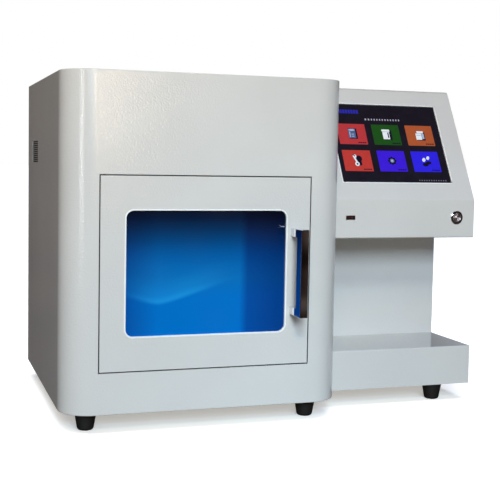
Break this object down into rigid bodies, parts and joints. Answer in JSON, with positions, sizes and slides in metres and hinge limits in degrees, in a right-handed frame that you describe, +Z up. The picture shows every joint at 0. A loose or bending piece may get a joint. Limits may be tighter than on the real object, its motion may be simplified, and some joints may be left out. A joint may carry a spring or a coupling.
{
  "type": "benchtop density meter",
  "caption": "Bench instrument for the density of solids: sheet-metal cabinet with a windowed sample compartment and a C-shaped console with a sloped touch screen.",
  "frame": {"origin": "on the bench, under the middle of the whole meter's bounding box", "axes": "+X to the right seen from the front, +Y from the front to the back, +Z up"},
  "size_m": [0.563, 0.398, 0.422],
  "materials": {
    "powder_coat": "light grey fine-textured powder coat",
    "stainless_sheet": "brushed stainless sheet",
    "zinc_plated_steel": "bright zinc plating",
    "polished_chrome": "polished",
    "machined_aluminium": "fine machined",
    "turned_stainless": "turned",
    "black_rubber": "matte",
    "grey_seal_rubber": "matte",
    "tinted_polycarbonate": "blue tint, glossy",
    "touch_glass": "dark, glossy",
    "black_plastic": "fine texture",
    "natural_nylon": "smooth",
    "usb_plastic": "smooth",
    "circuit_board": "green solder mask",
    "display_metal": "stamped sheet",
    "brass_body": "machined",
    "foam": "open-cell foam",
    "galvanised_case": "galvanised, perforated"
  },
  "bodies": {
    "cabinet": {"board_standoffs": "brass_body", "button_barrel": "turned_stainless", "button_ring_nut": "zinc_plated_steel", "cabinet_floor": "powder_coat", "cabinet_top": "powder_coat", "cabinet_wrap": "powder_coat", "cable_grommet": "black_rubber", "chamber_base": "machined_aluminium", "chamber_seal": "black_rubber", "compartment_liner": "stainless_sheet", "console_bolts": "zinc_plated_steel", "console_floor": "powder_coat", "console_inner_side": "powder_coat", "console_outer_side": "powder_coat", "console_rear_cover": "powder_coat", "console_wrap": "powder_coat", "control_board": "circuit_board", "cover_screws": "zinc_plated_steel", "display_module": "display_metal", "display_rails": "zinc_plated_steel", "door_jamb": "powder_coat", "door_seal": "grey_seal_rubber", "dust_filter": "foam", "fan_frame": "black_plastic", "foot_screws": "zinc_plated_steel", "gas_manifold": "machined_aluminium", "gas_ports": "turned_stainless", "gas_tubes": "turned_stainless", "hinge_brackets": "zinc_plated_steel", "hinge_pins": "turned_stainless", "magnetic_catch": "black_plastic", "mains_inlet": "black_plastic", "power_supply": "galvanised_case", "pressure_sensor": "turned_stainless", "rear_panel": "powder_coat", "reference_chamber": "turned_stainless", "relief_valve": "brass_body", "rubber_feet": "black_rubber", "sample_chamber": "turned_stainless", "screen_board": "circuit_board", "solenoid_valves": "black_plastic", "switch_housing": "black_plastic", "touch_panel": "touch_glass", "usb_shell": "zinc_plated_steel", "usb_tongue": "usb_plastic"},
    "door": {"door_shell": "powder_coat", "door_back_panel": "powder_coat", "window_gasket": "black_rubber", "window_pane": "tinted_polycarbonate", "window_retainer": "black_plastic", "door_handle": "polished_chrome", "handle_screws": "zinc_plated_steel", "hinge_bushings": "natural_nylon", "strike_plate": "zinc_plated_steel"},
    "button_cap": {"power_button": "turned_stainless"},
    "rocker": {"mains_rocker": "black_plastic"},
    "cap": {"chamber_cap": "machined_aluminium"},
    "cup": {"sample_cup": "turned_stainless"},
    "rotor": {"fan_rotor": "black_plastic"}
  },
  "joints": [
    {"name": "door_hinge", "type": "hinge", "parent": "cabinet", "child": "door", "pos_m": [-0.23325, -0.159, 0.187], "axis": [0, 0, -1], "range_deg": [0, 100]},
    {"name": "button_press", "type": "slide", "parent": "cabinet", "child": "button_cap", "axis": [0, 1, 0], "range_m": [0, 0.002], "stiffness_N_per_m": 500},
    {"name": "rocker_tip", "type": "hinge", "parent": "cabinet", "child": "rocker", "pos_m": [-0.1735, 0.181, 0.078], "axis": [1, 0, 0], "range_deg": [0, 24]},
    {"name": "fan_spin", "type": "hinge", "parent": "cabinet", "child": "rotor", "pos_m": [-0.1895, 0.1673, 0.347], "axis": [0, 1, 0], "continuous": true},
    {"name": "cap_lift", "type": "slide", "parent": "cabinet", "child": "cap", "axis": [0, 0, 1], "range_m": [0, 0.085]},
    {"name": "cup_lift", "type": "slide", "parent": "cabinet", "child": "cup", "axis": [0, 0, 1], "range_m": [0, 0.068]}
  ],
  "couplings": [
    {"joint": "cup_lift", "follows": "cap_lift", "ratio": 0.8}
  ]
}
